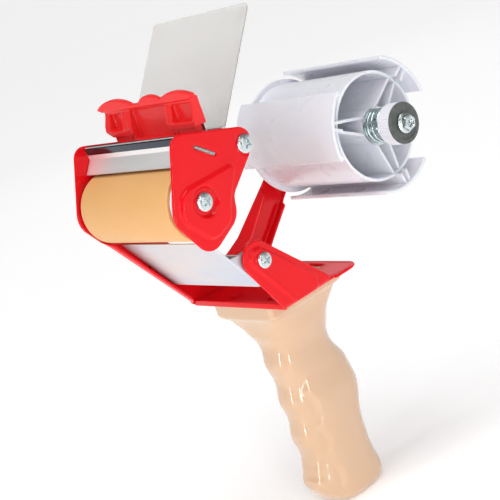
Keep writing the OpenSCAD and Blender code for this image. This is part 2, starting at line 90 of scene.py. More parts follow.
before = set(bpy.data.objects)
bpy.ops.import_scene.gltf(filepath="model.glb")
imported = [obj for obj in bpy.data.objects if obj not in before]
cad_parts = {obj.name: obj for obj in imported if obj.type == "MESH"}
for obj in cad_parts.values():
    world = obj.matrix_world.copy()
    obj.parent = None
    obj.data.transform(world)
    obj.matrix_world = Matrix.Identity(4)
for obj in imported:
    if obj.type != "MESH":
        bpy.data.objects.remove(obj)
cad_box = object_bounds()


# ---------------------------------------------------------------- outlines


def unit(v):
    n = math.hypot(*v)
    return tuple(c / n for c in v)


def rounded(corners, steps=8):
    """A closed outline from [u, v, fillet radius] corners."""
    out, n = [], len(corners)
    for i, (bu, bv, r) in enumerate(corners):
        a, c = corners[i - 1], corners[(i + 1) % n]
        if not r:
            out.append((bu, bv))
            continue
        u = unit((a[0] - bu, a[1] - bv))
        w = unit((c[0] - bu, c[1] - bv))
        half = math.acos(max(-1, min(1, u[0] * w[0] + u[1] * w[1]))) / 2
        m = unit((u[0] + w[0], u[1] + w[1]))
        centre = (bu + m[0] * r / math.sin(half), bv + m[1] * r / math.sin(half))
        reach = r / math.tan(half)
        first = (bu + u[0] * reach - centre[0], bv + u[1] * reach - centre[1])
        last = (bu + w[0] * reach - centre[0], bv + w[1] * reach - centre[1])
        side = 1 if first[0] * last[1] - first[1] * last[0] > 0 else -1
        turn = side * (math.pi - 2 * half)
        for k in range(steps + 1):
            q = turn * k / steps
            out.append(
                (
                    centre[0] + first[0] * math.cos(q) - first[1] * math.sin(q),
                    centre[1] + first[0] * math.sin(q) + first[1] * math.cos(q),
                )
            )
    return out


def box_path(u0, v0, u1, v1, fillet, steps=8):
    return rounded([(u0, v0, fillet), (u1, v0, fillet), (u1, v1, fillet), (u0, v1, fillet)], steps)


def resampled(path, step):
    """The same closed outline with no edge longer than step."""
    out = []
    for a, b in zip(path, path[1:] + path[:1]):
        k = max(1, math.ceil(math.dist(a, b) / step))
        out += [(a[0] + (b[0] - a[0]) * j / k, a[1] + (b[1] - a[1]) * j / k) for j in range(k)]
    return out


def inward(path):
    """Unit normals that point into a closed outline, one per point."""
    area = sum(a[0] * b[1] - b[0] * a[1] for a, b in zip(path, path[1:] + path[:1]))
    side = 1 if area > 0 else -1
    out = []
    for i, b in enumerate(path):
        a, c = path[i - 1], path[(i + 1) % len(path)]
        u, w = unit((b[0] - a[0], b[1] - a[1])), unit((c[0] - b[0], c[1] - b[1]))
        m = unit((u[0] + w[0], u[1] + w[1]))
        k = 1 / max(0.5, math.sqrt((1 + u[0] * w[0] + u[1] * w[1]) / 2))
        out.append((-m[1] * side * k, m[0] * side * k))
    return out


def inset(path, d):
    return [(p[0] + n[0] * d, p[1] + n[1] * d) for p, n in zip(path, inward(path))]


def circle(u, v, r, steps=48):
    return [
        (u + r * math.cos(math.tau * k / steps), v + r * math.sin(math.tau * k / steps))
        for k in range(steps)
    ]


def distance(points, path):
    """Distance of each point to a closed outline."""
    p = np.asarray(points, float)[:, None, :]
    a = np.asarray(path, float)[None, :, :]
    b = np.roll(a, -1, axis=1)
    ab = b - a
    t = np.clip(((p - a) * ab).sum(2) / np.maximum((ab**2).sum(2), 1e-12), 0, 1)
    return np.sqrt((((a + ab * t[..., None]) - p) ** 2).sum(2)).min(1)


def inside(points, path):
    p = np.asarray(points, float)
    a = np.asarray(path, float)
    b = np.roll(a, -1, axis=0)
    hit = np.zeros(len(p), int)
    for (ua, va), (ub, vb) in zip(a, b):
        if va != vb:
            crosses = (va > p[:, 1]) != (vb > p[:, 1])
            hit += crosses & (p[:, 0] < ua + (p[:, 1] - va) * (ub - ua) / (vb - va))
    return hit % 2 == 1


def smooth(t):
    t = np.clip(t, 0, 1)
    return t * t * (3 - 2 * t)


# ---------------------------------------------------------------- meshes


def solid(name, verts, faces, look, body, replaces=(), slot=None, sharp=38):
    """One closed piece from millimetre coordinates, shaded smooth up to the sharp angle."""
    mesh = bpy.data.meshes.new(name)
    mesh.from_pydata([tuple(c * MM for c in v) for v in verts], [], faces)
    bm = bmesh.new()
    bm.from_mesh(mesh)
    bmesh.ops.remove_doubles(bm, verts=bm.verts, dist=2e-7)
    bmesh.ops.recalc_face_normals(bm, faces=bm.faces)
    bm.to_mesh(mesh)
    bm.free()
    mesh.shade_smooth()
    mesh.set_sharp_from_angle(angle=math.radians(sharp))
    mesh.materials.append(look)
    obj = bpy.data.objects.new(name, mesh)
    bpy.context.scene.collection.objects.link(obj)
    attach(obj, body)
    if replaces:
        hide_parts(*replaces)
    return obj


def loft(rings, closed=False):
    """Vertices and faces of a skin over equal rings, capped unless it closes on itself."""
    n, count = len(rings[0]), len(rings)
    verts = [v for ring in rings for v in ring]
    faces = []
    for i in range(count if closed else count - 1):
        here, there = i * n, (i + 1) % count * n
        for j in range(n):
            k = (j + 1) % n
            faces.append((here + j, here + k, there + k, there + j))
    if not closed:
        faces += [tuple(range(n)), tuple(range((count - 1) * n, count * n))]
    return verts, faces


def merged(*parts):
    """Several (verts, faces) as one."""
    verts, faces = [], []
    for v, f in parts:
        faces += [tuple(i + len(verts) for i in face) for face in f]
        verts += v
    return verts, faces


def on_x(u, v, w):
    """Outline in Y and Z, depth along X."""
    return (w, u, v)


def on_z(u, v, w):
    """Outline in X and Y, depth along Z."""
    return (u, v, w)


def slab(path, w0, w1, edge, place=on_x):
    """An outline given depth, with its two rims rounded."""
    turns = [math.radians(a) for a in (0, 30, 60, 90)]
    levels = [(edge * (1 - math.sin(a)), w0 + edge * (1 - math.cos(a))) for a in turns]
    levels += [(d, w0 + w1 - w) for d, w in reversed(levels)]
    return loft([[place(u, v, w) for u, v in inset(path, d)] for d, w in levels])


def lathe(profile, centre=(0, 0), steps=72, closed=False):
    """A profile of (x, radius) turned about an axis along X."""
    return loft([[(x, *p) for p in circle(*centre, r, steps)] for x, r in profile], closed)


def turned(corners, centre=(0, 0), steps=72):
    """A closed ring-shaped profile of [x, radius, fillet] corners, turned about X."""
    return lathe(rounded(corners, 5), centre, steps, closed=True)


def coil(r0, r1, length, turns, wire, place, per_turn=36, sides=10):
    """A wire helix; its two end turns lie flat."""
    rings = []
    total = int(turns * per_turn)
    for i in range(total + 1):
        f = i / total
        climb = min(1, max(0, (f - 0.5 / turns) / (1 - 1 / turns)))
        rise = 0.35 * float(smooth(climb)) + 0.65 * climb
        q, r = math.tau * turns * f, r0 + (r1 - r0) * f
        ring = []
        for j in range(sides):
            w = math.tau * j / sides
            reach = r + wire / 2 * math.cos(w)
            along = wire / 2 + (length - wire) * rise + wire / 2 * math.sin(w)
            ring.append(place(reach * math.cos(q), reach * math.sin(q), along))
        rings.append(ring)
    return loft(rings)


def pressed(path, holes, relief, thick, grid, place, guides=()):
    """Sheet metal pressed to relief(points): filled with fine triangles, its rims rolled round."""
    edge = thick / 2
    loops = [resampled(path, grid)] + [resampled(h, grid) for h in holes]
    rings = []
    for k, loop in enumerate(loops):
        rings += [inset(loop, edge * f * (1 if k == 0 else -1)) for f in (0, 0.12, 0.42, 1)]
    rings += [resampled(guide, grid) for guide in guides]
    points, edges = [], []
    for ring in rings:
        base = len(points)
        points += ring
        edges += [(base + i, base + (i + 1) % len(ring)) for i in range(len(ring))]
    lo, hi = np.min(path, 0), np.max(path, 0)
    rows = np.arange(lo[1], hi[1], grid * 0.87)
    lattice = [
        (u + (grid / 2 if k % 2 else 0), v)
        for k, v in enumerate(rows)
        for u in np.arange(lo[0], hi[0], grid)
    ]
    keep = inside(lattice, loops[0])
    for k, loop in enumerate(loops):
        keep &= distance(lattice, loop) > edge + grid * 0.45
        if k:
            keep &= ~inside(lattice, loop)
    for guide in guides:
        keep &= distance(lattice, guide) > grid * 0.4
    points += [p for p, ok in zip(lattice, keep) if ok]
    flat, _, tris, *_ = geometry.delaunay_2d_cdt([Vector(p) for p in points], edges, [], 0, 1e-5)
    flat = np.array([tuple(p) for p in flat])
    tris = np.array([tuple(t) for t in tris])
    mid = flat[tris].mean(1)
    good = inside(mid, loops[0])
    for loop in loops[1:]:
        good &= ~inside(mid, loop)
    tris = tris[good]
    rim = np.min([distance(flat, loop) for loop in loops], axis=0)
    drop = edge - np.sqrt(np.maximum(0, edge**2 - np.maximum(0, edge - rim) ** 2))
    height = relief(flat)
    verts = [place(u, v, h - d) for (u, v), h, d in zip(flat, height, drop)]
    back, faces = {}, []
    for i, ((u, v), h, d) in enumerate(zip(flat, height, drop)):
        if rim[i] < 1e-4:
            back[i] = i
        else:
            back[i] = len(verts)
            verts.append(place(u, v, h - thick + d))
    for t in tris:
        faces.append(tuple(int(i) for i in t))
        faces.append(tuple(back[int(i)] for i in reversed(t)))
    return verts, faces


def bent_section(flange, bend, thick):
    """Section of a turned-up rim as (distance in from the edge, height), from floor to floor."""
    arc = [math.radians(a) for a in range(0, 91, 15)]
    foot, round_z, half = bend + 1.2, flange - thick / 2, thick / 2
    inner = bend - thick
    out = [(foot, 0.0)] + [(bend - bend * math.sin(a), bend - bend * math.cos(a)) for a in arc]
    out += [(0, flange * 0.6), (0, round_z)]
    out += [(half - half * math.cos(a), round_z + half * math.sin(a)) for a in arc[2::2]]
    out += [(half + half * math.cos(a), round_z + half * math.sin(a)) for a in arc[-3::-2]]
    out += [(thick, round_z), (thick, flange * 0.6)]
    out += [(bend - inner * math.sin(a), bend - inner * math.cos(a)) for a in reversed(arc)]
    return out + [(foot, thick)]


def flat_section(count, bend, thick):
    """The same number of points as a bent section, laid out along a flat rounded edge."""
    foot, half = bend + 1.2, thick / 2
    out = []
    for k in range(count):
        s = abs(2 * k / (count - 1) - 1)
        q = math.pi / 2 * min(1, (1 - s) / 0.4)
        d = foot * max(0, (s - 0.6) / 0.4) + half * (1 - math.sin(q))
        side = -1 if k < count / 2 else 1
        out.append((d if s < 1 else foot, half + side * half * (math.cos(q) if s < 0.6 else 1)))
    return out


def flanged(path, flange, turned_in, taller, thick, bend, grid, place):
    """Sheet metal whose rim turns up where turned_in(point) is 1, and lies flat where it is 0.

    taller(point) is how much the turned rim stands above its usual height there.
    """
    path = resampled(path, grid)
    up = bent_section(flange, bend, thick)
    lie = flat_section(len(up), bend, thick)
    rings = []
    for p, n in zip(path, inward(path)):
        t = float(smooth(turned_in(p)))
        more = taller(p)
        ring = []
        for (du, dx), (lu, lx) in zip(up, lie):
            dx += more * max(0, dx - bend) / (flange - bend)
            d, x = lu + (du - lu) * t, lx + (dx - lx) * t
            ring.append(place(p[0] + n[0] * d, p[1] + n[1] * d, x))
        rings.append(ring)
    verts = [v for ring in rings for v in ring]
    n, k = len(rings), len(up)
    faces = [
        (i * k + j, i * k + j + 1, (i + 1) % n * k + j + 1, (i + 1) % n * k + j)
        for i in range(n)
        for j in range(k - 1)
    ]
    border = inset(path, bend + 1.2)
    lo, hi = np.min(path, 0), np.max(path, 0)
    lattice = [(u, v) for u in np.arange(lo[0], hi[0], 4) for v in np.arange(lo[1], hi[1], 4)]
    keep = inside(lattice, border) & (distance(lattice, border) > 2)
    inner = [p for p, ok in zip(lattice, keep) if ok]
    rim = [(i, (i + 1) % n) for i in range(n)]
    flat, _, tris, origin, *_ = geometry.delaunay_2d_cdt(
        [Vector(p) for p in border + inner], rim, [], 0, 1e-6
    )
    mid = np.array([tuple(flat[t[0]] + flat[t[1]] + flat[t[2]]) for t in tris]) / 3
    good = inside(mid, border)
    base = {}
    for side, x, col in ((0, 0.0, 0), (1, thick, k - 1)):
        for i, p in enumerate(flat):
            first = origin[i][0] if origin[i] else -1
            if 0 <= first < n:
                base[side, i] = first * k + col
            else:
                base[side, i] = len(verts)
                verts.append(place(p[0], p[1], x))
    for t, ok in zip(tris, good):
        if ok:
            faces.append(tuple(base[0, i] for i in t))
            faces.append(tuple(base[1, i] for i in reversed(t)))
    return verts, faces


# ---------------------------------------------------------------- materials


def look(
    name, colour, other, rough, metallic=0.0, *, coat=0.0, specular=0.5,
    cloud=60, grain=1400, bump=0.03, stretch=(1, 1, 1),
):
    """A procedural surface: two tones mixed by a soft cloud, with grain in roughness and bump."""
    mat = bpy.data.materials.new(name)
    mat.use_nodes = True
    nodes, links = mat.node_tree.nodes, mat.node_tree.links
    shader = nodes["Principled BSDF"]
    shader.inputs["Metallic"].default_value = metallic
    shader.inputs["Coat Weight"].default_value = coat
    shader.inputs["Coat Roughness"].default_value = 0.06
    shader.inputs["Specular IOR Level"].default_value = specular
    coords = nodes.new("ShaderNodeTexCoord")
    mapping = nodes.new("ShaderNodeMapping")
    mapping.inputs["Scale"].default_value = stretch
    links.new(coords.outputs["Object"], mapping.inputs["Vector"])

    def noise(scale, detail):
        n = nodes.new("ShaderNodeTexNoise")
        n.inputs["Scale"].default_value = scale
        n.inputs["Detail"].default_value = detail
        links.new(mapping.outputs["Vector"], n.inputs["Vector"])
        return n.outputs["Fac"]

    def ranged(value, lo, hi):
        n = nodes.new("ShaderNodeMapRange")
        n.inputs["From Min"].default_value = 0.3
        n.inputs["From Max"].default_value = 0.7
        n.inputs["To Min"].default_value = lo
        n.inputs["To Max"].default_value = hi
        links.new(value, n.inputs["Value"])
        return n.outputs["Result"]

    soft, fine = noise(cloud, 3), noise(grain, 4)
    mix = nodes.new("ShaderNodeMix")
    mix.data_type = "RGBA"
    mix.inputs["A"].default_value = (*colour, 1)
    mix.inputs["B"].default_value = (*other, 1)
    links.new(ranged(soft, 0, 1), mix.inputs["Factor"])
    links.new(mix.outputs["Result"], shader.inputs["Base Color"])
    links.new(ranged(fine, rough * 0.82, rough * 1.2), shader.inputs["Roughness"])
    ridge = nodes.new("ShaderNodeBump")
    ridge.inputs["Strength"].default_value = bump
    ridge.inputs["Distance"].default_value = 0.0004
    links.new(fine, ridge.inputs["Height"])
    links.new(ridge.outputs["Normal"], shader.inputs["Normal"])
    return mat


PAINT = look(
    "red_enamel", (0.80, 0.004, 0.010), (0.76, 0.003, 0.008), 0.12,
    coat=0.25, specular=0.15, cloud=35, grain=60, bump=0.0,
)
STRIP = look(
    "bright_strip", (0.90, 0.89, 0.88), (0.87, 0.86, 0.86), 0.34, 0.55,
    cloud=20, grain=120, bump=0.0, stretch=(0.1, 1, 1),
)
# Near-black metal for the thin sheet over the top of the cutter strip: a painted dark reflection,
# standing in for the polished strip mirroring a dark surround.
PAINTED_REFLECTION = look(
    "painted_dark_reflection", (0.05, 0.055, 0.07), (0.10, 0.11, 0.13), 0.12, 0.9,
    grain=2600, bump=0.02, stretch=(0.05, 1, 1),
)
TAB = look(
    "sheared_tab", (0.55, 0.60, 0.60), (0.28, 0.32, 0.33), 0.3, 1.0,
    cloud=900, grain=2600, bump=0.2,
)
FLAP = look(
    "polished_flap", (0.56, 0.60, 0.70), (0.76, 0.66, 0.60), 0.34, 0.5,
    cloud=34, grain=120, bump=0.0, stretch=(0.35, 1, 1),
)
ZINC = look(
    "zinc_plate", (0.72, 0.76, 0.77), (0.60, 0.68, 0.70), 0.26, 1.0,
    cloud=220, grain=1500, bump=0.06,
)
TEAL_WIRE = look(
    "passivated_wire", (0.52, 0.66, 0.68), (0.68, 0.74, 0.72), 0.24, 1.0,
    cloud=120, grain=1600, bump=0.05,
)
BLADE = look(
    "ground_blade", (0.62, 0.63, 0.65), (0.70, 0.71, 0.72), 0.3, 1.0,
    grain=3000, bump=0.08, stretch=(1, 1, 0.06),
)
GUARD = look(
    "guard_plastic", (0.92, 0.030, 0.032), (0.88, 0.024, 0.026), 0.22,
    coat=0.2, specular=0.2, cloud=45, grain=60, bump=0.0,
)
RUBBER = look("roller_rubber", (0.76, 0.42, 0.16), (0.73, 0.39, 0.145), 0.5, cloud=30, grain=700)
WHITE = look(
    "hub_plastic", (0.86, 0.87, 0.93), (0.84, 0.85, 0.915), 0.3,
    coat=0.25, cloud=30, grain=60, bump=0.0,
)
BUSH = look(
    "bush_plastic", (0.80, 0.76, 0.66), (0.72, 0.68, 0.58), 0.5, cloud=90, grain=900, bump=0.08
)
FIBRE = look(
    "fibre_washer", (0.07, 0.08, 0.075), (0.12, 0.13, 0.12), 0.42,
    cloud=300, grain=1800, bump=0.25,
)
TAN = look(
    "grip_plastic", (0.70, 0.46, 0.29), (0.67, 0.43, 0.26), 0.1,
    coat=1.0, cloud=22, grain=60, bump=0.0,
)
CLEAR = look(
    "clear_film", (0.93, 0.915, 0.90), (0.90, 0.885, 0.87), 0.22, cloud=25, grain=600, bump=0.04
)
for key, value in (("Transmission Weight", 0.78), ("IOR", 1.3)):
    CLEAR.node_tree.nodes["Principled BSDF"].inputs[key].default_value = value
for mat, weight in ((WHITE, 0.12), (TAN, 0.10), (GUARD, 0.06)):
    shader = mat.node_tree.nodes["Principled BSDF"]
    shader.inputs["Subsurface Weight"].default_value = weight
    shader.inputs["Subsurface Scale"].default_value = 0.002


# ---------------------------------------------------------------- grip


def bell(z, centre, width):
    return math.exp(-(((z - centre) / width) ** 2))


def flare(z):
    """How far the grip has spread towards its block: 0 at the neck, 1 at the block."""
    return 1 - (1 - min(1, max(0, (z + 98) / 27)) ** 1.45) ** 0.69


def front_y(z):
    """Front edge of the grip: four finger grooves, a toe, and a rounded foot."""
    run = float(smooth((-80 - z) / 6) * smooth((z + 172) / 6))
    groove = 0.95 * math.cos((z + 102) * math.tau / 23.2) * run
    toe = 3.4 * bell(z, -176, 6)
    return -93.8 - groove - 5.9 * flare(z) - toe + 12 * max(0, (-180 - z) / 13.7) ** 2.2


def rear_y(z):
    """Rear edge of the grip: a palm swell below the web of the hand."""
    swell = 6.2 * bell(z, -131, 15) + 2.2 * bell(z, -115, 7)
    swell += 2.6 * bell(z, -185, 9) - 2.6 * bell(z, -101, 11)
    return -50.9 + swell + 4.5 * flare(z) - 6 * max(0, (-186 - z) / 7.7) ** 2.4


def half_width(z):
    """Half the grip's width, a little less at the neck."""
    neck = float(smooth((z + 131) / 19) * (1 - smooth((z + 98) / 14)))
    waist = 15.2 - 2.0 * neck + 0.8 * bell(z, -178, 12)
    return waist + 6.8 * flare(z) - 5 * max(0, (-186 - z) / 7.7) ** 2.4


def finger_pinch(y, z):
    """Share of the width lost ahead of the side panels, whose edge follows the finger grooves."""
    scallop = -84.8 + 3.6 * math.sqrt(math.sin((z + 121) * math.pi / 21) ** 2 + 0.01)
    run = float(smooth((-108 - z) / 14) * smooth((z + 188) / 14))
    return 0.13 * run * float(smooth((scallop - y) / 4.2))


def grip():
    """Oval grip that flares into a block with upright sides and a rolled lower edge.

    Each ring is a superellipse: half width, front, rear, exponent and height.
    """
    block = (24.5, BASE_Y + 0.4, BASE_BACK - 1.6)
    shelf, corner = -71.0, 0.13
    levels = [GRIP_FOOT + 7.7 * (1 - math.cos(math.radians(a))) for a in range(0, 91, 9)]
    levels += list(np.arange(-183.7, -76, 1.0))
    levels += [-75.2, -74.4, -73.6, -72.9, -72.3, -71.8, -71.4, -71.1]
    rings = []
    for z in levels:
        boxy = 0.5 * float(smooth((z + 88) / 17))
        rings.append((half_width(z), front_y(z), rear_y(z), 0.74 - boxy, z))
    for k in range(8):
        q = math.radians(90 * k / 7)
        back, drop = 1 - math.sin(q), 2.6 * (1 - math.cos(q))
        sides = (block[0] - 2.5 * back, block[1] + 1.4 * back, block[2] - 1.4 * back)
        rings.append((*sides, 0.24 - 0.11 * k / 7, shelf + drop))
    rings += [(*block, corner, h) for h in (-67, -65, BASE_UNDER + 0.6)]
    rings.append((block[0] - 0.5, block[1] + 0.5, block[2] - 0.5, corner, BASE_UNDER))
    skin = []
    for half, front, rear, power, z in rings:
        ring = []
        for c, s in circle(0, 0, 1, 192):
            y = (front + rear) / 2 + (rear - front) / 2 * math.copysign(abs(s) ** power, s)
            u = half * math.copysign(abs(c) ** power, c) * (1 - finger_pinch(y, z))
            ring.append((GRIP_X + u, y, z))
        skin.append(ring)
    return loft(skin)


solid("grip", *grip(), TAN, "frame", ("handle",), "tan_plastic", sharp=60)


# ---------------------------------------------------------------- painted steel

HEAD_TOP = [(-137.5, 47.6, 7), (-82.8, 32.4, 8), (-113.5, 6.9, 8)]
NEAR_PLATE = rounded(HEAD_TOP + [(-115.6, -4.2, 11), (-138.7, -15.6, 9), (-153, 8.3, 10)])
HEAD_PAD = rounded(
    [(-143.5, 20.6, 9), (-107, 21.4, 2.5), (-117.2, 5.5, 8)]
    + [(-121.5, -4.2, 6), (-134.5, -8.6, 8), (-148.6, 7.5, 8)]
)
SIDE_LOW, SIDE_FRONT = (BASE_Y + 0.5, BASE_UNDER), (-152.6, 8.6)
SIDE = rounded(
    HEAD_TOP
    + [(-106, -20, 12), (-78, -49, 16), (-58, -40, 10), (-21, -13.4, 8)]
    + [(-16, 15.4, 14), (15.4, 15.4, 14), (15, -5.4, 8), (-36.7, -50.5, 12)]
    + [(-49.5, BASE_UNDER, 3.5), (*SIDE_LOW, 5), (*SIDE_FRONT, 12)]
)
SLOT_AT, SLOT_TILT = (-121.2, 33.4), math.radians(-37)
EAR = rounded(
    [(BASE_Y, BASE_UNDER, 0.8), (-124, -20.8, 9.4), (-103.9, -20.8, 8), (-62.8, BASE_UNDER, 3)]
)
EAR_PAD = rounded(
    [(-94, BASE_Z - 0.6, 4), (-118, -24.4, 5), (-104.8, -25, 4)]
    + [(-76, -53.7, 5), (-77, BASE_Z - 0.6, 3)]
)


def tilted(u0, v0, u1, v1, at, tilt, fillet):
    """A small rounded rectangle about a point, turned by tilt."""
    c, s = math.cos(tilt), math.sin(tilt)
    flat = box_path(u0, v0, u1, v1, fillet, 4)
    return [(at[0] + u * c - v * s, at[1] + u * s + v * c) for u, v in flat]


def signed(points, path):
    """Distance into an outline: positive inside, negative outside."""
    return distance(points, path) * np.where(inside(points, path), 1, -1)


def creased(t):
    """A straight ramp from 0 to 1 with only its two ends eased."""
    return 0.25 * smooth(t) + 0.75 * np.clip(0.5 + (t - 0.5) * 1.25, 0, 1)


def from_point(p, at):
    """Distance of each row of p from one point."""
    return np.hypot(p[:, 0] - at[0], p[:, 1] - at[1])


def head_relief(p):
    """The near plate's face: a raised pad, dished round the axle screw and the tie-rod screw."""
    pad = 1.6 * creased((signed(p, HEAD_PAD) + 1.0) / 2.0)
    dish = creased((from_point(p, ROLLER) - 6.4) / 1.7)
    tie_dish = smooth((6.4 - from_point(p, TIE)) / 0.9)
    return PLATE_X + SHEET - 0.35 * tie_dish + pad * dish - 0.35 * (1 - dish)


def ear_relief(p):
    """The ear's face: a raised pad with a groove, a dimple and the bend into the base."""
    depth = signed(p, EAR_PAD)
    pad = creased((depth + 0.7) / 1.5)
    upper = smooth((-99 - p[:, 0] - 0.72 * (p[:, 1] + 30)) / 6)
    groove = smooth(1 - np.abs(depth - 2.6) / 0.9) * upper
    dimple = smooth(1 - from_point(p, (-114.3, -28.6)) / 1.7)
    seat = smooth((6.4 - from_point(p, SHAFT)) / 1.2)
    low = np.clip(BASE_UNDER + 3.2 - p[:, 1], 0, 3.1)
    bend = 3.2 - np.sqrt(3.2**2 - low**2)
    raised = np.maximum(1.3 * pad, 1.5 * seat * pad)
    return BASE_X + raised - 0.4 * groove * pad + 0.35 * dimple - bend


near_slot = tilted(-6.7, -0.85, 6.7, 0.85, SLOT_AT, SLOT_TILT, 0.5)
head_guides = [inset(HEAD_PAD, d) for d in (-1.0, -0.75, 0, 0.75, 1.0)]
head_guides += [circle(*ROLLER, r) for r in (6.4, 6.7, 7.2, 7.8, 8.1)]
head_guides += [circle(*TIE, r) for r in (5.3, 5.7, 6.1, 6.6)]
solid(
    "near_plate",
    *pressed(NEAR_PLATE, [near_slot], head_relief, SHEET, 0.9, on_x, head_guides),
    PAINT, "frame", ("near_head_plate",), "red_paint", sharp=70,
)


def turned_in(p):
    """1 where the side frame's rim is folded up: the lower front edge and both arm edges."""
    u, v = p
    a, b = SIDE_FRONT, SIDE_LOW
    off = abs((b[0] - a[0]) * (v - a[1]) - (b[1] - a[1]) * (u - a[0])) / math.dist(a, b)
    front = 0
    if off < 2.5 and u < BASE_Y + 3:
        front = float(smooth((-3 - v) / 7) * smooth((v + 60.5) / 3))
    arm = smooth((u + 90) / 7) * smooth((math.hypot(u, v) - 24) / 6) * smooth((v + 61.5) / 4)
    return max(front, float(arm))


def taller(p):
    """The arm's flanges stay low behind the hub; the front one widens on its way down."""
    u, v = p
    low = -4.0 * float(1 - smooth((math.hypot(u, v) - 38.9) / 2.5))
    if low or v < -29 + (u + 26) * 0.66 or u > -24:
        return low
    return 8.0 * min(1, (-24 - u) / 34) * float(smooth((u + 74) / 14))


solid(
    "side_pressing",
    *flanged(
        SIDE, FLANGE_H, turned_in, taller, SHEET, BEND_R, 2.0,
        lambda u, v, w: (w - PLATE_X - SHEET, u, v),
    ),
    PAINT, "frame", ("side_frame",), "red_paint", sharp=50,
)

floor_path = rounded(
    [(-PLATE_X, BASE_Y, 0.8), (-PLATE_X, BASE_BACK, 3), (BASE_X, BASE_BACK, 8)]
    + [(BASE_X, BASE_Y + 39, 0.8), (BASE_X - 2.2, BASE_Y + 38.7, 0.5), (BASE_X - 2.2, BASE_Y, 0.8)]
)
floor_slot = box_path(-1, BASE_BACK - 9, 13, BASE_BACK - 5, 1.4)
lip = box_path(BASE_Y, BASE_UNDER, BASE_Y + 1.6, BASE_Z + LIP_H, 0.7, 5)
ear_guides = [inset(EAR_PAD, d) for d in (-0.7, -0.35, 0, 0.35, 0.7, 1.7, 2.6, 3.5)]
ear_guides += [circle(*SHAFT, r) for r in (5.2, 6.0)]
solid(
    "base_pressing",
    *merged(
        pressed(floor_path, [floor_slot], lambda p: np.full(len(p), BASE_Z), SHEET, 2.5, on_z),
        slab(lip, -PLATE_X, BASE_X - 1.2, 0.4),
        pressed(EAR, [], ear_relief, SHEET, 0.8, on_x, ear_guides),
    ),
    PAINT, "frame", ("base_plate",), "red_paint", sharp=62,
)


# ---------------------------------------------------------------- screws


def cross_head(x, y, z, r, out, tilt):
    """A domed head with a four-armed recess, standing on a face at x."""
    rim = 0.75
    levels = [(r, -0.2), (r, rim)]
    for a in (20, 45):
        levels.append((r * math.cos(math.radians(a)), rim + 0.55 * math.sin(math.radians(a))))
    levels += [(r * 0.7 * f, None) for f in np.linspace(1, 0.01, 26)]
    rings = []
    for radius, level in levels:
        ring = []
        for k in range(96):
            q = math.tau * k / 96
            u, v = abs(radius * math.cos(q)), abs(radius * math.sin(q))
            long, wide = max(u, v), min(u, v)
            arm = smooth((0.13 * r - wide) / (0.06 * r)) * smooth((0.58 * r - long) / (0.16 * r))
            heart = smooth((0.26 * r - math.hypot(u, v)) / (0.08 * r))
            dome = level
            if level is None:
                dome = 1.15 + 1.4 * math.sqrt(max(0, 1 - (radius / r) ** 2))
            h = dome - 1.25 * float(max(arm, heart))
            across = radius * math.cos(q + tilt)
            ring.append((x + out * h, y + across, z + radius * math.sin(q + tilt)))
        rings.append(ring)
    return loft(rings)


def pair_of_heads(name, at, r, near_x, far_x, near_tilt):
    """The two heads, one outside each plate."""
    parts = [cross_head(near_x, *at, r, 1, near_tilt), cross_head(far_x, *at, r, -1, 0.8)]
    solid(name, *merged(*parts), ZINC, "frame", (name,), "zinc", sharp=42)


pair_of_heads("axle_screws", ROLLER, 4.6, PLATE_X + SHEET, -PLATE_X - SHEET, 0.5)
pair_of_heads("tie_screws", TIE, 4.8, PLATE_X + SHEET * 0.8, -PLATE_X - SHEET, 1.0)
pair_of_heads("flap_shaft_screws", SHAFT, 4.2, BASE_X + 1.4, -PLATE_X - SHEET, 0.3)


# ---------------------------------------------------------------- cutter head


def strip(centreline, thick, x0, x1):
    """A folded strip: an open line of [y, z, fillet] given thickness and run along X."""
    y, z, _ = centreline[-1]
    beyond = (y + 500, z + 900, 0)  # closes the outline far away, and is dropped again
    line = rounded([*centreline, beyond], 6)[:-1]
    left, right = [], []
    for i, p in enumerate(line):
        a, c = line[max(0, i - 1)], line[min(len(line) - 1, i + 1)]
        u = unit((c[0] - a[0], c[1] - a[1]))
        left.append((p[0] - u[1] * thick / 2, p[1] + u[0] * thick / 2))
        right.append((p[0] + u[1] * thick / 2, p[1] - u[0] * thick / 2))
    return slab(left + right[::-1], x0, x1, 0.12)


holder_line = [(-136.5, 31.2, 0), (-131.3, 38.0, 0.6), (-132.2, 44.3, 0.6), (-130.9, 44.4, 0.4)]
holder_line += [(-130.4, 40.4, 1.2), (-109.8, 24.9, 1.4), (-109.8, 37.2, 0)]
solid(
    "cutter_strip", *strip(holder_line, 1.1, -PLATE_X + 0.35, PLATE_X - 0.35),
    STRIP, "frame", ("blade_holder",), "bright_steel", sharp=48,
)
# A thin near-black sheet laid over the top of the cutter strip: painted dark reflection, where the
# real polished strip only mirrors its dark surround.
painted_reflection_line = [(-131.75, 38.9, 0), (-132.68, 44.2, 0.5), (-131.0, 44.95, 0)]
solid(
    "holder_painted_reflection", *strip(painted_reflection_line, 0.35, -PLATE_X + 0.5, PLATE_X - 0.5),
    PAINTED_REFLECTION, "frame", ("blade_holder",), "bright_steel", sharp=48,
)
tabs = [
    slab(tilted(-6.4, -0.6, 6.4, 0.6, SLOT_AT, SLOT_TILT, 0.3), x0, x1, 0.15)
    for x0, x1 in ((PLATE_X - 1.4, PLATE_X + SHEET - 0.3), (-PLATE_X - SHEET + 0.3, -PLATE_X + 1.4))
]
solid("holder_tabs", *merged(*tabs), TAB, "frame", ("blade_holder",), "bright_steel", sharp=48)


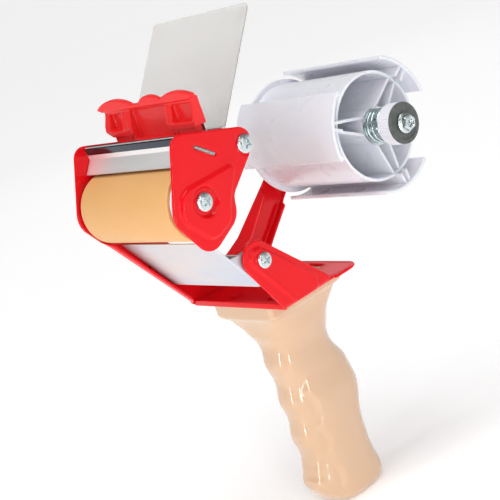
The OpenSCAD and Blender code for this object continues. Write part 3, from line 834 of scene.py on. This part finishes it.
def soft_copy(node, name, extra, voxel, rounds):
    """A CAD node's shape, joined with extra, every edge softly rounded as a moulding's are.

    voxel is the size in millimetres of the grid it is rebuilt on, rounds how often it is smoothed.
    """
    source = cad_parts[node].data.copy()
    obj = bpy.data.objects.new(name, source)
    bpy.context.scene.collection.objects.link(obj)
    bm = bmesh.new()
    bm.from_mesh(source)
    verts, faces = extra
    made = [bm.verts.new([c * MM for c in v]) for v in verts]
    for face in faces:
        bm.faces.new([made[i] for i in face])
    bmesh.ops.remove_doubles(bm, verts=bm.verts, dist=1e-7)
    bmesh.ops.recalc_face_normals(bm, faces=bm.faces)
    bm.to_mesh(source)
    bm.free()
    remesh = obj.modifiers.new("remesh", "REMESH")
    remesh.mode, remesh.voxel_size = "VOXEL", voxel * MM
    soften = obj.modifiers.new("soften", "SMOOTH")
    soften.factor, soften.iterations = 0.5, rounds
    graph = bpy.context.evaluated_depsgraph_get()
    mesh = bpy.data.meshes.new_from_object(obj.evaluated_get(graph))
    obj.modifiers.clear()
    obj.data = mesh
    mesh.shade_smooth()
    return obj


GUARD_FRONT_Y, GUARD_WAIST_Y = -117.8, -116.0
GUARD_WAIST_Z, GUARD_LEAN_Z, GUARD_TOP_Z = 44.5, 48, 58.8


def guard_front(z):
    """Y of the guard's front face, which leans back above its foot."""
    return GUARD_FRONT_Y + 3 * min(1, max(0, (z - GUARD_LEAN_Z) / (GUARD_TOP_Z - GUARD_LEAN_Z)))


def wavy_rib(x, z0, z1, reach):
    """A thin upright rib on the guard's front, snaking by reach to either side of x."""
    rings = []
    for k in range(29):
        z = z0 + (z1 - z0) * k / 28
        u = x + reach * math.sin(math.tau * 1.05 * k / 28)
        y = guard_front(z) + 0.75 if z > GUARD_WAIST_Z else GUARD_WAIST_Y
        rings.append([(u + 0.8 * c, y + s, z) for c, s in circle(0, 0, 1, 8)])
    return loft(rings)


RIBS = ((-21.6, 0.9), (-17.2, 0.9), (17.0, -0.7), (19.6, -0.5))
ribs = merged(*[wavy_rib(x, 41, 56.6, reach) for x, reach in RIBS])
guard = soft_copy("blade_guard", "guard_moulding", ribs, 0.42, 5)
guard.data.materials.clear()
guard.data.materials.append(GUARD)
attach(guard, "guard")
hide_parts("blade_guard")

SPRING_X, SPRING_Y, SPRING_Z = 22, -113.5, 30.0


def on_spring(side):
    """Places a helix on one of the two guard springs' seats, upright."""
    return lambda a, b, c: (side * SPRING_X + a, SPRING_Y + b, SPRING_Z + c)


for side, name in ((-1, "guard_coil_far"), (1, "guard_coil_near")):
    wire = coil(1.3, 1.3, 9.8, 6, 0.5, on_spring(side), 20, 8)
    piece = solid(name, *wire, TEAL_WIRE, "frame", ("guard_springs",), "spring_steel")
    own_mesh(piece)


# ---------------------------------------------------------------- roller

SLEEVE_HALF, SLEEVE_R, TUBE_R, RING_R = 38.5, 19, 15.5, 17.2


def both_ends(corners):
    """A profile of [x, radius, fillet] corners for one end, and its mirror image at the other."""
    return [(-x, r, f) for x, r, f in corners] + [(x, r, f) for x, r, f in reversed(corners)]


sleeve_end = [(SLEEVE_HALF, TUBE_R, 0.2), (SLEEVE_HALF, SLEEVE_R, 0.9)]
sleeve = turned(both_ends(sleeve_end), ROLLER, 96)
solid("rubber_sleeve", *sleeve, RUBBER, "roller", ("roller_sleeve",), "roller_rubber")
core_end = [(40, 5.5, 0.2), (40, 7.5, 0.5), (38, 8.2, 0.6), (38, 13.2, 0.6), (40, 13.6, 0.5)]
core_end += [(40, RING_R, 0.5), (SLEEVE_HALF + 0.05, RING_R, 0.3), (SLEEVE_HALF + 0.05, TUBE_R, 0.1)]
core = turned(both_ends(core_end), ROLLER, 72)
solid("roller_tube", *core, WHITE, "roller", ("roller_core",), "white_plastic")


# ---------------------------------------------------------------- flap under the roller

FLAP_TOP, FLAP_FOOT = (-132.85, -10.35), (-109.75, -44.85)
FLAP_X = (-41.0, 34.2)


def on_flap(u, v, w):
    """u along X, v down the flap from its top edge, w out of its front face."""
    d = unit((FLAP_FOOT[0] - FLAP_TOP[0], FLAP_FOOT[1] - FLAP_TOP[1]))
    return (u, FLAP_TOP[0] + d[0] * v + d[1] * w, FLAP_TOP[1] + d[1] * v - d[0] * w)


def flap_relief(p):
    """The flap's face: its near edge rolled back and a shallow groove along the top."""
    edge = np.clip((p[:, 0] - FLAP_X[1] + 2.6) / 2.6, 0, 1)
    groove = smooth(1 - np.abs(p[:, 1] - 2.2) / 1.2)
    return 0.42 - 1.1 * (1 - np.sqrt(1 - 0.94 * edge**2)) - 0.25 * groove


flap_length = math.dist(FLAP_TOP, FLAP_FOOT)
barbs = [(FLAP_X[1] - 9 + i * 1.5, 0.2 + (2.6 if i % 2 else 0.0)) for i in range(7)]
flap_outline = [(FLAP_X[0], 0.2), *barbs, (FLAP_X[1], 3.4), (FLAP_X[1], flap_length - 1)]
flap_outline += [(FLAP_X[1] - 1, flap_length), (FLAP_X[0] + 1, flap_length)]
flap_outline += [(FLAP_X[0], flap_length - 1)]
cheek = rounded([(-124, -23.4, 1), (-109.2, -44.8, 1), (-99.5, -38, 5), (-101.5, -25.5, 5)])
shaft_hole = circle(*SHAFT, BORE_R, 32)
solid(
    "flap_sheet",
    *merged(
        pressed(flap_outline, [], flap_relief, 0.8, 1.5, on_flap),
        *[
            pressed(cheek, [shaft_hole], lambda p, x=x: np.full(len(p), x), 0.8, 1.4, on_x)
            for x in (FLAP_X[0] + 0.8, FLAP_X[1])
        ],
    ),
    FLAP, "flap", ("backstop_flap",), "bright_steel", sharp=45,
)
flap_wire = coil(
    3.6, 3.6, 9, 7, 0.9, lambda a, b, c: (20 + c, SHAFT[0] + a, SHAFT[1] + b), 28, 8
)
solid("flap_coil", *flap_wire, TEAL_WIRE, "frame", ("flap_spring",), "spring_steel")


# ---------------------------------------------------------------- wiper film


FILM_TILT, FILM_FOOT = math.radians(52), (-102, 38.5)


def on_wiper(u, v, w):
    """u along X, v up the film from its clamp, w out of its back."""
    c, s = math.cos(FILM_TILT), math.sin(FILM_TILT)
    return (u, FILM_FOOT[0] + v * c - w * s, FILM_FOOT[1] + v * s + w * c)


film = rounded([(-42.6, 0.3, 0), (39.4, 0.3, 0), (39.4, 65, 4), (-42.6, 65, 1.5)])
solid(
    "wiper_film", *slab(film, -0.4, 0.1, 0.12, on_wiper),
    CLEAR, "wiper", ("wiper_sheet",), "clear_plastic",
)


# ---------------------------------------------------------------- tape hub


def polar(r, degrees):
    return (r * math.cos(math.radians(degrees)), r * math.sin(math.radians(degrees)))


def edge_bead(centre, side, bead):
    """Half-round bead along one edge of a shell, drawn anticlockwise."""
    rim = centre + 28 * side
    middle = polar(HUB_R - bead, rim)
    turn = np.linspace(rim, rim + 200, 12) if side > 0 else np.linspace(rim - 200, rim, 12)
    return [(middle[0] + polar(bead, a)[0], middle[1] + polar(bead, a)[1]) for a in turn]


def shell_path(centre, bead):
    """Section of one shell: a 2 mm skin over 60 degrees with a rounded bead along both edges."""
    out = [polar(HUB_R, centre + a) for a in np.linspace(-27, 27, 28)]
    out += edge_bead(centre, 1, bead)
    out += [polar(HUB_R - 2, centre + a) for a in np.linspace(25.6 - bead, -25.6 + bead, 28)]
    return out + edge_bead(centre, -1, bead)


def web(angle, side, r0, r1, x0, x1):
    """One wall of a double rib; the two walls close in towards the shell."""
    c, s = math.cos(math.radians(angle)), math.sin(math.radians(angle))
    corners = []
    for r, w in ((r0, -RIB_HALF), (r1, -RIB_HALF), (r1, RIB_HALF), (r0, RIB_HALF)):
        v = side * (4.85 - 0.113 * (r - 7.6)) + w
        corners.append((r * c - v * s, r * s + v * c))
    return slab(corners, x0, x1, 0.4)


def ring_profile(x0, x1, r0, r1, fillets):
    """Corners of a plain ring, with the fillets of its four corners."""
    corners = ((x0, r0), (x0, r1), (x1, r1), (x1, r0))
    return [(*c, f) for c, f in zip(corners, fillets)]


wall = 1.8
drum = [(DRUM_X0, 9, 0), (DRUM_X0, DRUM_R, 0.8), (DRUM_X1, DRUM_R, 0.7)]
drum += [(DRUM_X1, DRUM_R - wall, 0.7), (DRUM_X0 + wall, DRUM_R - wall, 1.2), (DRUM_X0 + wall, 9, 0)]
hub_parts = [
    turned(drum, steps=120),
    turned(ring_profile(DRUM_X0 - 1.2, DRUM_X0 + 0.6, 8, 33.5, (0.3, 0.7, 0.7, 0.3)), steps=120),
    turned(ring_profile(DRUM_X0 - 1.2, 34, 6, BOSS_R, (0.3, 0.3, 0.9, 0.4))),
]
for centre in SHELL_ANGLES:
    bead = 1.5 if centre == 160 else 1.15
    hub_parts.append(slab(shell_path(centre, bead), -SHELL_HALF, SHELL_HALF, 0.6))
    for side in (-1, 1):
        hub_parts.append(web(centre, side, 7.2, DRUM_R - 0.9, DRUM_X0 + 1, DRUM_X1 - 0.6))
        hub_parts.append(web(centre, side, DRUM_R - 1, HUB_R - 1, 1 - SHELL_HALF, SHELL_HALF - 1))
solid(
    "hub_moulding", *merged(*hub_parts),
    WHITE, "tape_hub_body", ("tape_hub",), "white_plastic", sharp=40,
)


# ---------------------------------------------------------------- brake on the stud

stud_profile = [(-43.5, 0.05), (-43.5, STUD_R), (45.5, STUD_R), (45.8, 3.6)]
stud_profile += [(45.8, THREAD_R), (49.6, THREAD_R)]
for k in range(11):
    stud_profile += [(49.8 + PITCH * k, THREAD_R), (50.2 + PITCH * k, THREAD_ROOT)]
stud_profile += [(59.2, 2.3), (59.2, 1.2), (58.2, 1.0), (58.2, 0.05)]


def hexagon(r, turn=0):
    return rounded([(*polar(r, 60 * k + turn), 0.5) for k in range(6)], 3)


solid(
    "threaded_stud",
    *merged(lathe(stud_profile, steps=48), slab(hexagon(7.4), -48.5, -43.5, 0.6)),
    ZINC, "frame", ("hub_stud",), "zinc",
)
brake_wire = coil(8.9, 8.6, 12.3, 4, 1.5, lambda a, b, c: (36.45 + c, a, b), 44, 12)
spring = solid("brake_coil", *brake_wire, TEAL_WIRE, "frame", ("brake_spring",), "spring_steel")
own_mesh(spring)


def knurled_collar():
    """The collar: fine grips along its rim, a deep recess for the spring behind."""
    profile = rounded(
        [(47, 9.9, 0.3), (47, 11.4, 0.5), (55, 11.4, 0.5)]
        + [(55, BORE_R, 0.3), (49.2, BORE_R, 0.3), (49.2, 9.9, 0.6)],
        4,
    )
    rings = []
    for x, r in profile:
        ring = []
        for k in range(240):
            grip_depth = 0.28 * (0.5 + 0.5 * math.cos(math.tau * k / 4)) * float(r > 11.3)
            ring.append((x, *polar(r - grip_depth, 1.5 * k)))
        rings.append(ring)
    return loft(rings, closed=True)


solid(
    "collar_moulding", *knurled_collar(),
    WHITE, "brake_stack", ("brake_collar",), "white_plastic",
)
disc = turned(
    [(55.05, BORE_R, 0.2), (55.05, 11.35, 0.35), (56.4, 11.35, 0.5)]
    + [(56.4, 8.9, 0.2), (56.15, 8.6, 0.2), (56.15, BORE_R, 0.2)],
    steps=96,
)
solid("fibre_disc", *disc, FIBRE, "brake_stack", ("brake_washer",), "dark_washer")


def flanged_nut():
    """A hex nut on a round flange; its inner rings run round the bore."""
    flange = turned(
        [(56.7, BORE_R, 0.2), (56.7, 5.9, 0.35), (57.3, 5.7, 0.3)]
        + [(58.2, 4.7, 0.3), (58.2, BORE_R, 0.2)]
    )
    outline = hexagon(4.62, 12)
    rings = [
        [(x, u * size, v * size) for u, v in outline]
        for x, size in ((57.6, 1), (59.9, 1), (60.6, 0.88), (60.8, 0.72))
    ]
    rings += [
        [(x, *polar(bore, math.degrees(math.atan2(v, u)))) for u, v in outline]
        for x, bore in ((60.8, 2.9), (60.3, BORE_R), (57.6, BORE_R))
    ]
    return merged(flange, loft(rings, closed=True))


solid("nut_flanged", *flanged_nut(), ZINC, "nut", ("brake_nut",), "zinc", sharp=30)


# ---------------------------------------------------------------- CAD nodes that stay as they are

KEPT = {
    "cutter_blade": BLADE, "blade_screws": ZINC, "roller_axle": STRIP, "roller_bushes": BUSH,
    "roller_washers": ZINC, "tie_rod": STRIP, "wiper_bracket": PAINT, "wiper_foot": CLEAR,
    "wiper_rivets": ZINC, "flap_shaft": ZINC, "stud_nut": ZINC, "hub_bushes": BUSH,
    "spring_seat": ZINC, "handle_screws": PAINT,
}
for node, mat in KEPT.items():
    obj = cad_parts[node]
    for entry in obj.material_slots:
        entry.material = mat
    edge = obj.modifiers.new("edge", "BEVEL")
    edge.width, edge.segments = 0.12 * MM, 2
    edge.limit_method, edge.angle_limit = "ANGLE", math.radians(40)


# ---------------------------------------------------------------- floor, light, camera

FLOOR_Z = cad_box[0][2] - 0.0002


def plain(name, colour, rough):
    """Pale paper that glows a little, so it stays near white under soft light."""
    mat = look(name, colour, tuple(c * 0.985 for c in colour), rough, cloud=2, grain=200, bump=0.01)
    shader = mat.node_tree.nodes["Principled BSDF"]
    shader.inputs["Emission Color"].default_value = (1, 1, 1, 1)
    shader.inputs["Emission Strength"].default_value = 0.24
    return mat


floor_mesh = bpy.data.meshes.new("floor")
floor_corners = [(u * 60, v * 60, FLOOR_Z) for u, v in ((-1, -1), (1, -1), (1, 1), (-1, 1))]
floor_mesh.from_pydata(floor_corners, [], [(0, 1, 2, 3)])
floor_mesh.materials.append(plain("floor_paper", (0.93, 0.93, 0.93), 0.8))
floor_obj = bpy.data.objects.new("floor", floor_mesh)
bpy.context.scene.collection.objects.link(floor_obj)

world = bpy.data.worlds.new("studio")
world.use_nodes = True
sky = world.node_tree.nodes
direction = sky.new("ShaderNodeTexCoord")
height = sky.new("ShaderNodeSeparateXYZ")
ramp = sky.new("ShaderNodeValToRGB")
tones = ((0.0, 1.0), (0.05, 1.0), (0.14, 0.16), (0.55, 0.12), (0.9, 0.3))
for spot, _ in tones[1:-1]:
    ramp.color_ramp.elements.new(spot)
for entry, (spot, tone) in zip(ramp.color_ramp.elements, tones):
    entry.position, entry.color = spot, (tone, tone, tone, 1)
world.node_tree.links.new(direction.outputs["Generated"], height.inputs["Vector"])
world.node_tree.links.new(height.outputs["Z"], ramp.inputs["Fac"])
world.node_tree.links.new(ramp.outputs["Color"], sky["Background"].inputs["Color"])
bpy.context.scene.world = world

AIM = Vector((-0.0096, -0.0765, -0.0395))


def softbox(name, at, size, power):
    """A rectangular lamp that faces the object."""
    lamp = bpy.data.lights.new(name, "AREA")
    lamp.shape, lamp.size, lamp.size_y = "RECTANGLE", *size
    lamp.energy = power
    obj = bpy.data.objects.new(name, lamp)
    obj.location = at
    obj.rotation_euler = (AIM - Vector(at)).to_track_quat("-Z", "Y").to_euler()
    bpy.context.scene.collection.objects.link(obj)


softbox("key", (-0.35, -1.1, 0.85), (0.22, 0.22), 2.4)
softbox("fill", (1.35, 0.15, 0.45), (0.05, 0.9), 1.2)
softbox("top", (0.2, 0.1, 1.3), (0.3, 0.3), 1.2)
softbox("back", (-1.1, 0.8, 0.6), (0.6, 0.6), 0.5)
softbox("strip", (1.05, -0.62, 0.1), (0.05, 1.0), 1.6)
softbox("near_strip", (0.27, -0.20, -0.06), (0.012, 0.26), 0.17)
softbox("front_strip", (0.05, -0.42, -0.06), (0.014, 0.26), 0.22)
sun = bpy.data.lights.new("daylight", "SUN")
sun.energy, sun.angle = 1.65, math.radians(60)
sun_obj = bpy.data.objects.new("daylight", sun)
sun_obj.rotation_euler = (math.radians(12), math.radians(10), 0)
bpy.context.scene.collection.objects.link(sun_obj)

AZIMUTH, ELEVATION, ROLL, DISTANCE, LENS = 53.36, 15.08, 19.66, 0.7, 91.97
az, el, roll = (math.radians(a) for a in (AZIMUTH, ELEVATION, ROLL))
level = Vector((math.sin(az), -math.cos(az), 0))
back = (level * math.cos(el) + Vector((0, 0, math.sin(el)))).normalized()
right = Vector((0, 0, 1)).cross(back).normalized()
up = back.cross(right) * math.cos(roll) + right * math.sin(roll)
camera_data = bpy.data.cameras.new("camera")
camera_data.lens, camera_data.sensor_width = LENS, 36
camera_data.clip_start = 0.01
camera = bpy.data.objects.new("camera", camera_data)
axes = Matrix((up.cross(back), up, back)).transposed().to_4x4()
camera.matrix_world = Matrix.Translation(AIM + back * DISTANCE) @ axes
bpy.context.scene.collection.objects.link(camera)
bpy.context.scene.camera = camera

bpy.context.scene.view_settings.view_transform = "Standard"
